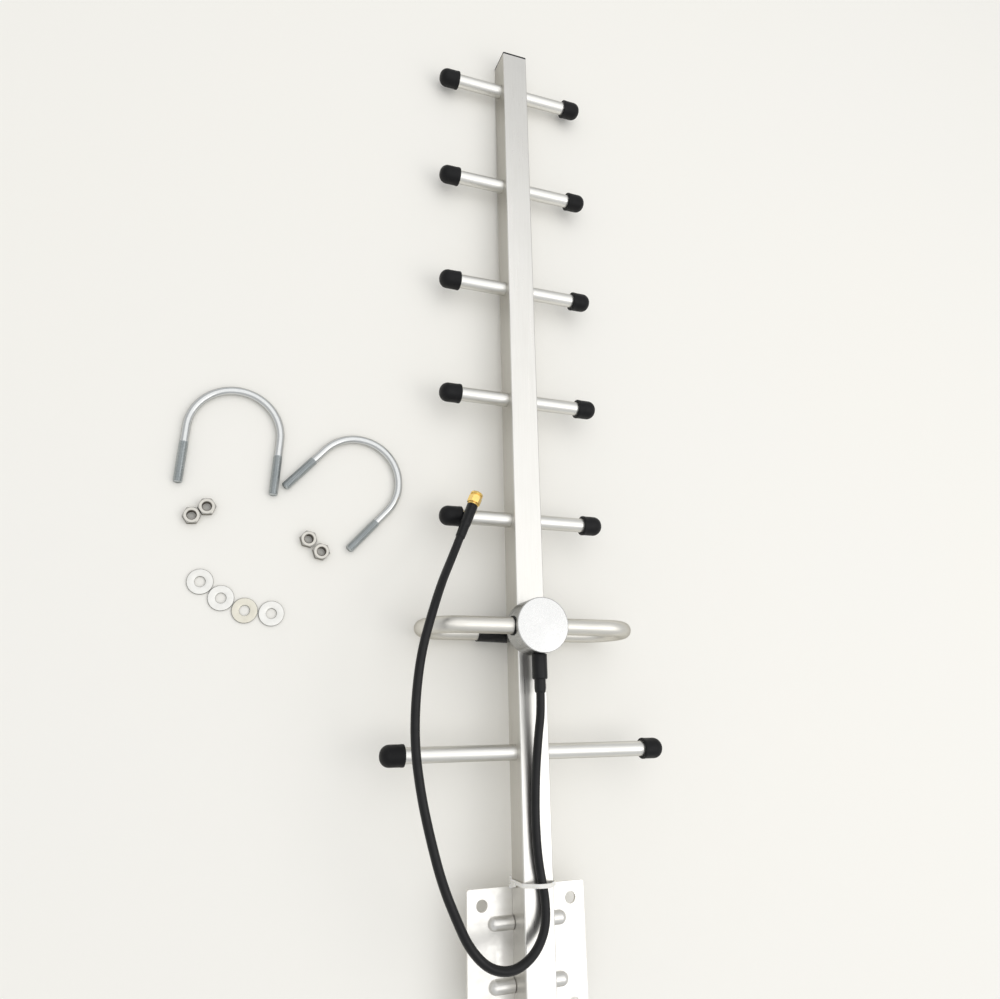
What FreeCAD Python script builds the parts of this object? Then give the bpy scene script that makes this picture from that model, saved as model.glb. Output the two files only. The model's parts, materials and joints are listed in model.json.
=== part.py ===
import FreeCAD, Part
import math
import os

import Sketcher
from FreeCAD import Placement, Rotation, Vector

# Seven-element Yagi antenna on a square boom, with its mast bracket, feed lead and clamp hardware.
# Millimetres.  +Y runs along the boom to its tip, +X along the elements, +Z out of the boom's front.
# The origin is the middle of the bracket's bolt pattern, on the face that meets the mast.

SIZES = {
    # mast bracket: a square sheet plate with four pressed louvres that centre the boom
    "plate_side": 80.0,
    "plate_thickness": 2.0,
    "plate_corner": 1.5,
    "plate_hole_spacing": 60.5,
    "plate_hole_radius": 3.75,
    "louvre_radius": 4.4,
    "louvre_wall": 1.6,
    "louvre_length": 16.0,
    "louvre_pitch": 35.0,
    "louvre_offset": 2.0,
    "louvre_gap": 0.4,
    "plate_screw_pitch": 52.0,
    "plate_screw_radius": 2.0,
    "plate_screw_head": 4.0,
    "plate_screw_length": 9.0,
    # boom
    "boom_width": 20.0,
    "boom_wall": 1.2,
    "boom_corner": 0.8,
    "boom_rear": 40.0,
    "boom_length": 708.0,
    "plug_flange": 1.5,
    "plug_depth": 10.0,
    "plug_clearance": 0.2,
    # elements, counted from the reflector at the rear
    "reflector_station": 121.0,
    "dipole_station": 200.0,
    "director_station": 276.0,
    "director_pitch": 90.5,
    "reflector_span": 198.0,
    "director_span": 122.0,
    "element_radius": 5.0,
    "element_wall": 1.0,
    "element_clearance": 0.1,
    "element_cap_radius": 7.0,
    "element_cap_length": 15.2,
    "element_cap_end": 2.5,
    "element_cap_round": 6.0,
    "element_cap_lip": 0.6,
    "small_screw_radius": 1.5,
    "small_screw_head": 2.8,
    "small_screw_head_height": 1.6,
    "small_screw_length": 9.0,
    # play round a push fit and round a screw's shank
    "fit_gap": 0.05,
    "screw_gap": 0.1,
    # folded dipole
    "dipole_span": 154.5,
    "dipole_spacing": 41.5,
    "dipole_radius": 5.5,
    "dipole_wall": 1.0,
    "dipole_gap": 10.0,
    "terminal_offset": 9.0,
    # rear saddle that holds the dipole's unbroken arm
    "saddle_reach": 28.0,
    "saddle_waist": 6.2,
    "saddle_root": 7.0,
    "saddle_neck": 13.0,
    "saddle_peg_radius": 3.0,
    "saddle_peg_length": 5.0,
    # feed housing on the boom's front
    "housing_radius": 18.0,
    "housing_height": 20.0,
    "housing_wall": 1.5,
    "housing_edge": 0.8,
    "housing_arm_hole": 6.35,
    "base_thickness": 3.0,
    "base_clearance": 0.1,
    "base_screw_pitch": 22.0,
    "insulator_length": 24.0,
    "insulator_width": 13.0,
    "grommet_wall": 0.7,
    "grommet_reach": 1.7,
    "lug_radius": 3.0,
    "lug_thickness": 0.5,
    "lug_tab_width": 2.4,
    "lug_tab_length": 6.0,
    "lug_hole_edge": 2.0,
    "lead_radius": 0.5,
    "lead_pitch": 2.8,
    # feed lead
    "cable_radius": 2.8,
    "exit_height": 11.5,
    "exit_sleeve_radius": 5.0,
    "exit_sleeve_length": 16.0,
    "exit_spigot_radius": 4.0,
    "exit_boot_radius": 3.75,
    "exit_boot_length": 8.5,
    "tail_overlap": 6.0,
    "tail_reach": 8.0,
    "tie_station": 43.3,
    "tie_width": 2.6,
    "tie_strap": 1.1,
    "tie_slack": 0.3,
    "tie_lead_offset": 1.4,
    "tie_crown_half": 3.2,
    "tie_lock_length": 6.0,
    "tie_lock_width": 4.6,
    "tie_lock_height": 3.4,
    "tie_tail_length": 10.0,
    "tie_tail_lean": 14.0,
    # plug on the free end of the lead
    "sleeve_start_radius": 3.3,
    "sleeve_end_radius": 3.8,
    "sleeve_length": 26.0,
    "ferrule_radius": 2.9,
    "ferrule_length": 16.0,
    "connector_neck_radius": 2.4,
    "connector_bore_radius": 2.05,
    "connector_flange_radius": 2.8,
    "connector_pin_radius": 0.46,
    "connector_shoulder": 0.9,
    "coupling_gap": 1.2,
    "coupling_across_flats": 8.0,
    "coupling_length": 8.6,
    "coupling_collar_length": 2.4,
    "coupling_collar_radius": 4.4,
    "coupling_bore_radius": 3.15,
    # mast clamp hardware
    "ubolt_leg_spacing": 59.0,
    "ubolt_leg_length": 38.0,
    "ubolt_rod_radius": 2.7,
    "ubolt_thread_radius": 3.0,
    "ubolt_thread_length": 27.0,
    "nut_across_flats": 10.0,
    "nut_height": 5.0,
    "nut_bore_radius": 2.6,
    "nut_face_inset": 0.2,
    "washer_radius": 8.0,
    "washer_bore_radius": 3.25,
    "washer_thickness": 1.4,
}

DIRECTOR_COUNT = 5

# The lead's route from the exit boot to its plug: straight down the boom, under the tie, round a
# wide loop over the bracket and back up the left side to the first director.
CABLE_ROUTE = [
    (0, 157.5, 33.5),
    (0, 146, 33.5),
    (-1, 130, 30),
    (-2, 107, 26.5),
    (-2.5, 82, 25),
    (-1.5, 57, 25.2),
    (3, 35, 25),
    (1, 19, 28),
    (-9, 7, 33),
    (-24, 1, 37),
    (-40, 5, 41),
    (-52, 17, 42),
    (-60, 32, 44),
    (-69, 52, 45),
    (-76, 76, 45),
    (-82, 100, 46),
    (-86, 127, 46),
    (-86, 154, 47),
    (-83, 181, 48),
    (-76, 205, 47),
    (-67, 226, 38),
    (-58, 242, 28.5),
    (-51, 258, 25.8),
]

# Clamp hardware lies loose on the table beside the boom: middle of each U-bolt's two leg ends and
# the angle of its legs from +Y towards +X, then the centres of the nuts and washers.
UBOLT_PLACES = {"u_bolt_1": (-198.2, 288.0, 3.6), "u_bolt_2": (-139.8, 272.7, 42.0)}
NUT_PLACES = [(-217.6, 269.2, 35.9), (-208.9, 275.5, 35.9), (-144.4, 258.6, -42.6), (-135.8, 250.7, -42.6)]
WASHER_PLACES = [(-209.4, 227.9), (-196.3, 218.1), (-181.6, 210.8), (-165.1, 209.4)]

X_AXIS = Vector(1, 0, 0)
Y_AXIS = Vector(0, 1, 0)
Z_AXIS = Vector(0, 0, 1)

doc = FreeCAD.newDocument("yagi_antenna")
nodes = []


def fill_sheet():
    """Put every driving size in the sheet, one aliased cell each."""
    sheet = doc.addObject("Spreadsheet::Sheet", "Sizes")
    for row, (alias, value) in enumerate(SIZES.items(), start=1):
        sheet.set("A%d" % row, alias)
        sheet.set("B%d" % row, str(value))
        sheet.setAlias("B%d" % row, alias)
    doc.recompute()


def expression(text):
    """Write each alias in a formula as a reference to the sheet."""
    words = text.replace("(", "( ").replace(")", " )").split()
    return " ".join("Sizes." + word if word in SIZES else word for word in words)


def bind(thing, formulas):
    for name, formula in formulas.items():
        thing.setExpression(name, expression(formula))


def size(alias):
    return SIZES[alias]


def part_object(kind, name, formulas, placement=None):
    """A Part primitive whose sizes follow the sheet."""
    thing = doc.addObject("Part::" + kind, name)
    bind(thing, formulas)
    if placement is not None:
        thing.Placement = placement
    return thing


def aim(start, direction):
    """A placement that puts local Z along a direction, starting at a point."""
    return Placement(Vector(*start), Rotation(Z_AXIS, Vector(*direction)))


def cylinder(name, radius, height, start, direction):
    return part_object("Cylinder", name, {"Radius": radius, "Height": height}, aim(start, direction))


def cone(name, radius_1, radius_2, height, start, direction):
    formulas = {"Radius1": radius_1, "Radius2": radius_2, "Height": height}
    return part_object("Cone", name, formulas, aim(start, direction))


def box(name, length, width, height, corner):
    formulas = {"Length": length, "Width": width, "Height": height}
    return part_object("Box", name, formulas, Placement(Vector(*corner), Rotation()))


def fuse(name, pieces):
    thing = doc.addObject("Part::MultiFuse", name)
    thing.Shapes = pieces
    thing.Refine = True
    return thing


def cut(name, base, tools):
    thing = doc.addObject("Part::Cut", name)
    thing.Base = base
    thing.Tool = tools[0] if len(tools) == 1 else fuse(name + "_tools", tools)
    return thing


def group(name, pieces):
    """Identical fasteners kept as one node of separate solids."""
    thing = doc.addObject("Part::Compound", name)
    thing.Links = pieces
    return thing


def keep(label, thing, placement=None):
    """Name a finished sub-part, so that it is written out."""
    thing.Label = label
    if placement is not None:
        thing.Placement = placement
    nodes.append(thing)
    return thing


def new_sketch(body, name, plane="XY_Plane"):
    """An empty sketch on one of the body's own origin planes."""
    sketch = body.newObject("Sketcher::SketchObject", name)
    origin_plane = [item for item in body.Origin.OriginFeatures if item.Role == plane][0]
    sketch.AttachmentSupport = (origin_plane, [""])
    sketch.MapMode = "FlatFace"
    return sketch


def name_dimension(sketch, constraint, formula):
    index = sketch.addConstraint(constraint)
    bind(sketch, {"Constraints[%d]" % index: formula})


def draw_rectangle(sketch, width, height, centre=(0, 0)):
    """A rectangle about a centre point, its sides driven by two formulas."""
    half_w, half_h = 5.0, 5.0
    x, y = centre
    signs = ((-1, -1), (1, -1), (1, 1), (-1, 1))
    corners = [(x + sign_x * half_w, y + sign_y * half_h) for sign_x, sign_y in signs]
    first = sketch.GeometryCount
    for index in range(4):
        start, end = corners[index], corners[(index + 1) % 4]
        sketch.addGeometry(Part.LineSegment(Vector(*start, 0), Vector(*end, 0)), False)
    for index in range(4):
        sketch.addConstraint(Sketcher.Constraint("Coincident", first + index, 2, first + (index + 1) % 4, 1))
    sketch.addConstraint(Sketcher.Constraint("Horizontal", first))
    sketch.addConstraint(Sketcher.Constraint("Horizontal", first + 2))
    sketch.addConstraint(Sketcher.Constraint("Vertical", first + 1))
    sketch.addConstraint(Sketcher.Constraint("Vertical", first + 3))
    if centre == (0, 0):
        sketch.addConstraint(Sketcher.Constraint("Symmetric", first, 1, first + 1, 2, -1, 1))
    name_dimension(sketch, Sketcher.Constraint("Distance", first, 2 * half_w), width)
    name_dimension(sketch, Sketcher.Constraint("Distance", first + 1, 2 * half_h), height)


def draw_circle(sketch, radius, x=None, y=None, signs=(1, 1)):
    """A circle on the sketch's origin, or set off from it by two formulas."""
    start = Vector(signs[0] * 10, signs[1] * 10, 0) if x else Vector(0, 0, 0)
    circle = sketch.addGeometry(Part.Circle(start, Z_AXIS, 2.0), False)
    if x:
        horizontal, vertical = ((circle, 3, -1, 1) if sign < 0 else (-1, 1, circle, 3) for sign in signs)
        name_dimension(sketch, Sketcher.Constraint("DistanceX", *horizontal, 10.0), x)
        name_dimension(sketch, Sketcher.Constraint("DistanceY", *vertical, 10.0), y)
    else:
        sketch.addConstraint(Sketcher.Constraint("Coincident", circle, 3, -1, 1))
    name_dimension(sketch, Sketcher.Constraint("Radius", circle, 2.0), radius)


def draw_hexagon(sketch, across_flats):
    """A regular hexagon about the origin with two flats facing along X."""
    corner = 10.0
    angles = [math.radians(30 + 60 * turn) for turn in range(6)]
    points = [Vector(math.cos(angle), math.sin(angle), 0) * corner for angle in angles]
    for turn in range(6):
        sketch.addGeometry(Part.LineSegment(points[turn], points[(turn + 1) % 6]), False)
    guide = sketch.addGeometry(Part.Circle(Vector(0, 0, 0), Z_AXIS, corner), True)
    sketch.addConstraint(Sketcher.Constraint("Coincident", guide, 3, -1, 1))
    for turn in range(6):
        sketch.addConstraint(Sketcher.Constraint("Coincident", turn, 2, (turn + 1) % 6, 1))
        sketch.addConstraint(Sketcher.Constraint("PointOnObject", turn, 1, guide))
    for turn in range(1, 6):
        sketch.addConstraint(Sketcher.Constraint("Equal", 0, turn))
    sketch.addConstraint(Sketcher.Constraint("Vertical", 5))
    name_dimension(sketch, Sketcher.Constraint("Radius", guide, corner), across_flats + " / sqrt( 3 )")


def pad(body, name, sketch, length):
    feature = body.newObject("PartDesign::Pad", name)
    feature.Profile = sketch
    bind(feature, {"Length": length})
    body.Tip = feature
    return feature


def extruded_body(name, length, draw):
    """A body padded along its local Z from one sketch."""
    body = doc.addObject("PartDesign::Body", name)
    sketch = new_sketch(body, name + "_outline")
    draw(sketch)
    pad(body, name + "_pad", sketch, length)
    return body


def round_edges(body, name, radius, chosen):
    """Fillet the edges of the body's tip that a test picks out."""
    doc.recompute()
    base = body.Tip
    edges = ["Edge%d" % (index + 1) for index, edge in enumerate(base.Shape.Edges) if chosen(edge)]
    feature = body.newObject("PartDesign::Fillet", name)
    feature.Base = (base, edges)
    bind(feature, {"Radius": radius})
    body.Tip = feature


def on_level(edge, level):
    """True for a closed round edge that lies at one local height."""
    return len(edge.Vertexes) == 1 and abs(edge.BoundBox.ZMin - level) < 0.01 and edge.BoundBox.ZLength < 0.01


def boom_axis_height():
    return size("plate_thickness") + size("boom_width") / 2


def boom_front_height():
    return size("plate_thickness") + size("boom_width")


def exit_level():
    """Height of the lead's axis where it leaves the housing."""
    return boom_front_height() + size("exit_height")


def dipole_arm_height():
    return boom_axis_height() + size("dipole_spacing") / 2


def element_stations():
    """Each straight element's name, its place along the boom and the alias of its span."""
    stations = [("reflector", size("reflector_station"), "reflector_span")]
    for index in range(DIRECTOR_COUNT):
        station = size("director_station") + index * size("director_pitch")
        stations.append(("director_%d" % (index + 1), station, "director_span"))
    return stations


def plate_screw_stations():
    half = size("plate_screw_pitch") / 2
    return [-half, half]


def base_screw_stations():
    half = size("base_screw_pitch") / 2
    return [size("dipole_station") - half, size("dipole_station") + half]


# ---------------------------------------------------------------- boom


def make_boom():
    """Square tube, bored across for the elements and drilled for its screws."""
    def outline(sketch):
        draw_rectangle(sketch, "boom_width", "boom_width")
        draw_rectangle(sketch, "boom_width - 2 * boom_wall", "boom_width - 2 * boom_wall")

    tube = extruded_body("boom_extrusion", "boom_length", outline)
    half = size("boom_width") / 2
    round_edges(
        tube, "boom_corners", "boom_corner",
        lambda edge: edge.BoundBox.ZLength > 1 and abs(abs(edge.CenterOfMass.x) - half) < 0.01,
    )
    tube.Placement = Placement(Vector(0, -size("boom_rear"), boom_axis_height()), Rotation(X_AXIS, -90))
    holes = []
    for name, station, _ in element_stations():
        start = (-size("boom_width"), station, boom_axis_height())
        radius = "element_radius + element_clearance"
        holes.append(cylinder(name + "_bore", radius, "2 * boom_width", start, (1, 0, 0)))
        start = (0, station, 0)
        holes.append(cylinder(name + "_pilot", "small_screw_radius", "boom_width / 2", start, (0, 0, 1)))
    for station in plate_screw_stations():
        start = (0, station, 0)
        holes.append(cylinder("plate_pilot", "plate_screw_radius + 0.02", "boom_width / 2", start, (0, 0, 1)))
    peg_start = (0, size("dipole_station"), 0)
    holes.append(cylinder("peg_hole", "saddle_peg_radius", "boom_width / 2", peg_start, (0, 0, 1)))
    for station in base_screw_stations():
        start = (0, station, boom_axis_height())
        holes.append(cylinder("base_pilot", "small_screw_radius", "boom_width", start, (0, 0, 1)))
    keep("boom_tube", cut("boom_drilled", tube, holes))


def make_end_plug(label, station, direction):
    """Moulded plug: a flange the size of the tube and a hollow spigot inside it."""
    half = size("boom_width") / 2

    def flange_outline(sketch):
        draw_rectangle(sketch, "boom_width", "boom_width")

    flange = extruded_body(label + "_flange", "plug_flange", flange_outline)
    round_edges(
        flange, label + "_corners", "boom_corner",
        lambda edge: edge.BoundBox.ZLength > 1 and abs(abs(edge.CenterOfMass.x) - half) < 0.01,
    )
    inner = "boom_width - 2 * boom_wall - 2 * plug_clearance"

    def spigot_outline(sketch):
        draw_rectangle(sketch, inner, inner)
        draw_rectangle(sketch, inner + " - 4 * plug_flange", inner + " - 4 * plug_flange")

    spigot = extruded_body(label + "_spigot", "plug_depth", spigot_outline)
    spigot.Placement = Placement(Vector(0, 0, -size("plug_depth")), Rotation())
    plug = fuse(label + "_solid", [flange, spigot])
    keep(label, plug, aim((0, station, boom_axis_height()), (0, direction, 0)))


# ---------------------------------------------------------------- elements


def make_element(name, station, span):
    """A straight tube through the boom, open at both ends under its caps."""
    height = boom_axis_height()
    reach = size(span) / 2 - size("element_cap_end")
    length = span + " - 2 * element_cap_end"
    start = (-reach, station, height)
    outer = cylinder(name + "_outer", "element_radius", length, start, (1, 0, 0))
    inner = cylinder(name + "_inner", "element_radius - element_wall", length, start, (1, 0, 0))
    pilot = cylinder(name + "_hole", "small_screw_radius", "boom_width / 2", (0, station, 0), (0, 0, 1))
    keep(name + "_rod", cut(name + "_tube", outer, [inner, pilot]))
    for side, direction in (("left", -1), ("right", 1)):
        mouth = direction * (size(span) / 2 - size("element_cap_length"))
        make_cap("%s_cap_%s" % (name, side), aim((mouth, station, height), (direction, 0, 0)))


def make_cap(label, placement):
    """A rubber cap: a domed cup pushed over the end of an element."""
    closed_end = size("element_cap_length")

    def outline(sketch):
        draw_circle(sketch, "element_cap_radius")

    body = extruded_body(label + "_body", "element_cap_length", outline)
    round_edges(body, label + "_dome", "element_cap_round", lambda edge: on_level(edge, closed_end))
    round_edges(body, label + "_lip", "element_cap_lip", lambda edge: on_level(edge, 0))
    bore = new_sketch(body, label + "_bore_outline")
    draw_circle(bore, "element_radius + element_clearance / 2")
    pocket = body.newObject("PartDesign::Pocket", label + "_bore")
    pocket.Profile = bore
    pocket.Reversed = True
    bind(pocket, {"Length": "element_cap_length - element_cap_end"})
    body.Tip = pocket
    keep(label, body, placement)


def pan_screw(name, start, direction, length="small_screw_length"):
    """A pan-head screw whose head sits behind the start point."""
    head_start = Vector(*start) - Vector(*direction) * size("small_screw_head_height")
    head = cylinder(name + "_head", "small_screw_head", "small_screw_head_height", head_start, direction)
    shank = cylinder(name + "_shank", "small_screw_radius", length, start, direction)
    return fuse(name, [head, shank])


def make_element_screws():
    screws = []
    for name, station, _ in element_stations():
        screws.append(pan_screw(name + "_screw", (0, station, size("plate_thickness")), (0, 0, 1)))
    keep("element_screws", group("element_screw_group", screws))


# ---------------------------------------------------------------- folded dipole and its feed


def dipole_run(name, radius):
    """The dipole's bent bar of one radius: three straight lengths and two half rings."""
    station = size("dipole_station")
    bend = size("dipole_spacing") / 2
    straight = size("dipole_span") / 2 - size("dipole_radius") - bend
    front, rear = dipole_arm_height(), boom_axis_height() - bend
    arm = "dipole_span / 2 - dipole_radius - dipole_spacing / 2 - dipole_gap / 2"
    whole = "dipole_span - 2 * dipole_radius - dipole_spacing"
    pieces = [cylinder(name + "_rear", radius, whole, (-straight, station, rear), (1, 0, 0))]
    for side, direction in (("left", -1), ("right", 1)):
        start = (direction * size("dipole_gap") / 2, station, front)
        pieces.append(cylinder("%s_front_%s" % (name, side), radius, arm, start, (direction, 0, 0)))
        formulas = {"Radius1": "dipole_spacing / 2", "Radius2": radius}
        ring = part_object("Torus", "%s_bend_%s" % (name, side), formulas)
        ring.Angle3 = 180
        turn = Rotation(Z_AXIS * -1, X_AXIS * direction, Y_AXIS * -direction, "XYZ")
        ring.Placement = Placement(Vector(direction * straight, station, boom_axis_height()), turn)
        pieces.append(ring)
    return fuse(name, pieces)


def make_dipole():
    bar = dipole_run("dipole_outer", "dipole_radius")
    bore = dipole_run("dipole_inner", "dipole_radius - dipole_wall")
    tools = [bore]
    below_arm = dipole_arm_height() - 2 * size("dipole_radius")
    hole_radius = "small_screw_radius + screw_gap"
    for direction in (-1, 1):
        start = (direction * size("terminal_offset"), size("dipole_station"), below_arm)
        tools.append(cylinder("terminal_hole", hole_radius, "dipole_spacing / 2", start, (0, 0, 1)))
    keep("dipole_loop", cut("dipole_tube", bar, tools))


def make_saddle():
    """Moulded saddle under the boom: it tapers out along the rear arm on both sides."""
    station = size("dipole_station")
    height = boom_axis_height() - size("dipole_spacing") / 2
    start = (0, station, height)
    pieces = []
    for direction in (-1, 1):
        axis = (direction, 0, 0)
        pieces.append(cone("saddle_arm", "saddle_root", "saddle_waist", "saddle_reach", start, axis))
    half = size("saddle_neck") / 2
    rise = "dipole_spacing / 2 - boom_width / 2"
    corner = (-half, station - half, height)
    pieces.append(box("saddle_neck_block", "saddle_neck", "saddle_neck", rise, corner))
    peg_start = (0, station, size("plate_thickness"))
    peg = cylinder("saddle_peg", "saddle_peg_radius - fit_gap", "saddle_peg_length", peg_start, (0, 0, 1))
    solid = fuse("saddle_solid", pieces + [peg])
    bore_start = (-2 * size("saddle_reach"), station, height)
    bore = cylinder("saddle_bore", "dipole_radius + fit_gap", "4 * saddle_reach", bore_start, (1, 0, 0))
    keep("dipole_saddle", cut("saddle_bored", solid, [bore]))


def make_housing():
    """Turned cup upside down on the boom, holed at the sides for the arms and at the rear for the lead."""
    station = size("dipole_station")
    front = boom_front_height()

    def outline(sketch):
        draw_circle(sketch, "housing_radius")

    body = extruded_body("housing_body", "housing_height", outline)
    round_edges(body, "housing_rim", "housing_edge", lambda edge: on_level(edge, size("housing_height")))
    cavity = new_sketch(body, "housing_cavity_outline")
    draw_circle(cavity, "housing_radius - housing_wall")
    pocket = body.newObject("PartDesign::Pocket", "housing_cavity")
    pocket.Profile = cavity
    pocket.Reversed = True
    bind(pocket, {"Length": "housing_height - housing_wall"})
    body.Tip = pocket
    body.Placement = Placement(Vector(0, station, front), Rotation())
    arm_start = (-2 * size("housing_radius"), station, dipole_arm_height())
    exit_start = (0, station, exit_level())
    tools = [
        cylinder("arm_holes", "housing_arm_hole", "4 * housing_radius", arm_start, (1, 0, 0)),
        cylinder("exit_hole", "exit_spigot_radius + fit_gap", "2 * housing_radius", exit_start, (0, -1, 0)),
    ]
    keep("feed_housing", cut("housing_holed", body, tools))


def make_base():
    """Moulded disc screwed to the boom; the housing presses over it."""
    station = size("dipole_station")
    radius = "housing_radius - housing_wall - base_clearance"
    disc = cylinder("base_disc", radius, "base_thickness", (0, station, boom_front_height()), (0, 0, 1))
    top = boom_front_height() + size("base_thickness")
    holes, screws = [], []
    for hole_station in base_screw_stations():
        start = (0, hole_station, boom_axis_height())
        holes.append(cylinder("base_hole", "small_screw_radius + screw_gap", "boom_width", start, (0, 0, 1)))
        screws.append(pan_screw("base_screw", (0, hole_station, top), (0, 0, -1)))
    keep("feed_base", cut("base_drilled", disc, holes))
    keep("feed_base_screws", group("base_screw_group", screws))


def make_insulator():
    """Block with a half-round trough for each end of the split arm and a web between them."""
    station = size("dipole_station")
    bottom = boom_front_height() + size("base_thickness")
    height = "dipole_spacing / 2 - boom_width / 2 - base_thickness"
    corner = (-size("insulator_length") / 2, station - size("insulator_width") / 2, bottom)
    block = box("insulator_block", "insulator_length", "insulator_width", height, corner)
    thread_radius = "small_screw_radius + fit_gap"
    tools = []
    for direction in (-1, 1):
        axis = (direction, 0, 0)
        trough_start = (direction * size("dipole_gap") / 2, station, dipole_arm_height())
        tools.append(cylinder("trough", "dipole_radius + fit_gap", "insulator_length", trough_start, axis))
        hole_start = (direction * size("terminal_offset"), station, bottom)
        tools.append(cylinder("terminal_thread", thread_radius, "dipole_spacing", hole_start, (0, 0, 1)))
    keep("feed_insulator", cut("insulator_cut", block, tools))


def make_terminals():
    """The two screws through the arm ends, the lugs under their heads and the lead's two tails."""
    station = size("dipole_station")
    seat = dipole_arm_height() + size("dipole_radius")
    lug_top = seat + size("lug_thickness")
    tab_end = station - size("lug_tab_length") - size("lug_hole_edge")
    screw_length = "small_screw_length + 1"
    screws, lugs = [], []
    for direction in (-1, 1):
        x = direction * size("terminal_offset")
        centre = (x, station, seat)
        ring = cylinder("lug_ring", "lug_radius", "lug_thickness", centre, (0, 0, 1))
        tab_corner = (x - size("lug_tab_width") / 2, tab_end, seat)
        tab = box("lug_tab", "lug_tab_width", "lug_tab_length", "lug_thickness", tab_corner)
        hole = cylinder("lug_hole", "small_screw_radius + screw_gap", "lug_thickness", centre, (0, 0, 1))
        lugs.append(cut("lug", fuse("lug_blank", [ring, tab]), [hole]))
        screws.append(pan_screw("terminal_screw", (x, station, lug_top), (0, 0, -1), screw_length))
    keep("feed_lugs", group("lug_group", lugs))
    keep("feed_terminal_screws", group("terminal_screw_group", screws))
    tail_end = station - size("tail_reach") + size("lead_radius")
    screw_gap = size("screw_gap")
    for label, direction in (("coax_centre_lead", 1), ("coax_braid_lead", -1)):
        start = Vector(direction * size("lead_pitch") / 2, tail_end, exit_level())
        under_lug = seat - size("lead_radius") - screw_gap
        end = Vector(direction * size("terminal_offset"), station - size("lug_radius") - 2, under_lug)
        lead = part_object("Cylinder", label + "_wire", {"Radius": "lead_radius"}, aim(start, end - start))
        lead.Height = (end - start).Length
        keep(label, lead)


def make_grommets():
    """Thin rings that line the housing's two side holes."""
    inner = size("housing_radius") - size("housing_wall") - size("grommet_reach")
    bore_radius = "dipole_radius + fit_gap"
    length = "housing_wall + 2"
    for side, direction in (("left", -1), ("right", 1)):
        start = (direction * inner, size("dipole_station"), dipole_arm_height())
        name = "dipole_grommet_" + side
        axis = (direction, 0, 0)
        outer = cylinder(name + "_outer", bore_radius + " + grommet_wall", length, start, axis)
        bore = cylinder(name + "_bore", bore_radius, length, start, axis)
        keep(name, cut(name + "_ring", outer, [bore]))


# ---------------------------------------------------------------- feed lead


def make_exit():
    """The lead's exit: a thick sleeve against the housing, a slimmer boot behind it, and the tail inside."""
    station = size("dipole_station")
    height = exit_level()
    face = station - size("housing_radius")
    sleeve = cylinder("exit_outer", "exit_sleeve_radius", "exit_sleeve_length", (0, face, height), (0, -1, 0))
    spigot = cylinder("exit_spigot", "exit_spigot_radius", "2 * housing_wall", (0, face, height), (0, 1, 0))
    tail_start = (0, face - size("tail_overlap"), height)
    length = "tail_overlap + housing_radius - tail_reach"
    bore = cylinder("exit_bore", "cable_radius + fit_gap", length, tail_start, (0, 1, 0))
    keep("cable_exit_sleeve", cut("exit_sleeve_bored", fuse("exit_blank", [sleeve, spigot]), [bore]))
    tail = cylinder("coax_tail_bar", "cable_radius", length, tail_start, (0, 1, 0))
    keep("coax_tail", tail)
    boot_start = (0, face - size("exit_sleeve_length"), height)
    boot = cylinder("exit_boot", "exit_boot_radius", "exit_boot_length", boot_start, (0, -1, 0))
    keep("cable_exit_boot", boot)


def rounded_route(points):
    """Straight runs joined by tangent arcs, each as large as its two runs allow."""
    corners = [Vector(*point) for point in points]
    edges = []
    radii = []
    start = corners[0]
    for before, corner, after in zip(corners, corners[1:], corners[2:]):
        back, ahead = before - corner, after - corner
        half_turn = (math.pi - back.getAngle(ahead)) / 2
        trim = 0.45 * min(back.Length, ahead.Length)
        radius = trim / math.tan(half_turn)
        radii.append(radius)
        back.normalize()
        ahead.normalize()
        enter, leave = corner + back * trim, corner + ahead * trim
        middle_line = back + ahead
        middle_line.normalize()
        apex = corner + middle_line * (radius / math.cos(half_turn) - radius)
        edges.append(Part.LineSegment(start, enter).toShape())
        edges.append(Part.Arc(enter, apex, leave).toShape())
        start = leave
    edges.append(Part.LineSegment(start, corners[-1]).toShape())
    return Part.Wire(edges), radii


def make_cable():
    path, radii = rounded_route(CABLE_ROUTE)
    direction = Vector(*CABLE_ROUTE[1]) - Vector(*CABLE_ROUTE[0])
    radius = size("cable_radius")
    section = Part.Wire([Part.Circle(Vector(*CABLE_ROUTE[0]), direction, radius).toShape()])
    tube = path.makePipeShell([section], True, True)
    cable = doc.addObject("Part::Feature", "cable_tube")
    cable.Shape = tube
    keep("coax_cable", cable)
    expected = math.pi * radius ** 2 * path.Length
    print("cable length %.1f mm, smallest radius %.1f mm" % (path.Length, min(radii)))
    print("cable radii " + ", ".join("%.0f" % value for value in radii))
    print("cable volume over section times length %.4f" % (tube.Volume / expected))


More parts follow.
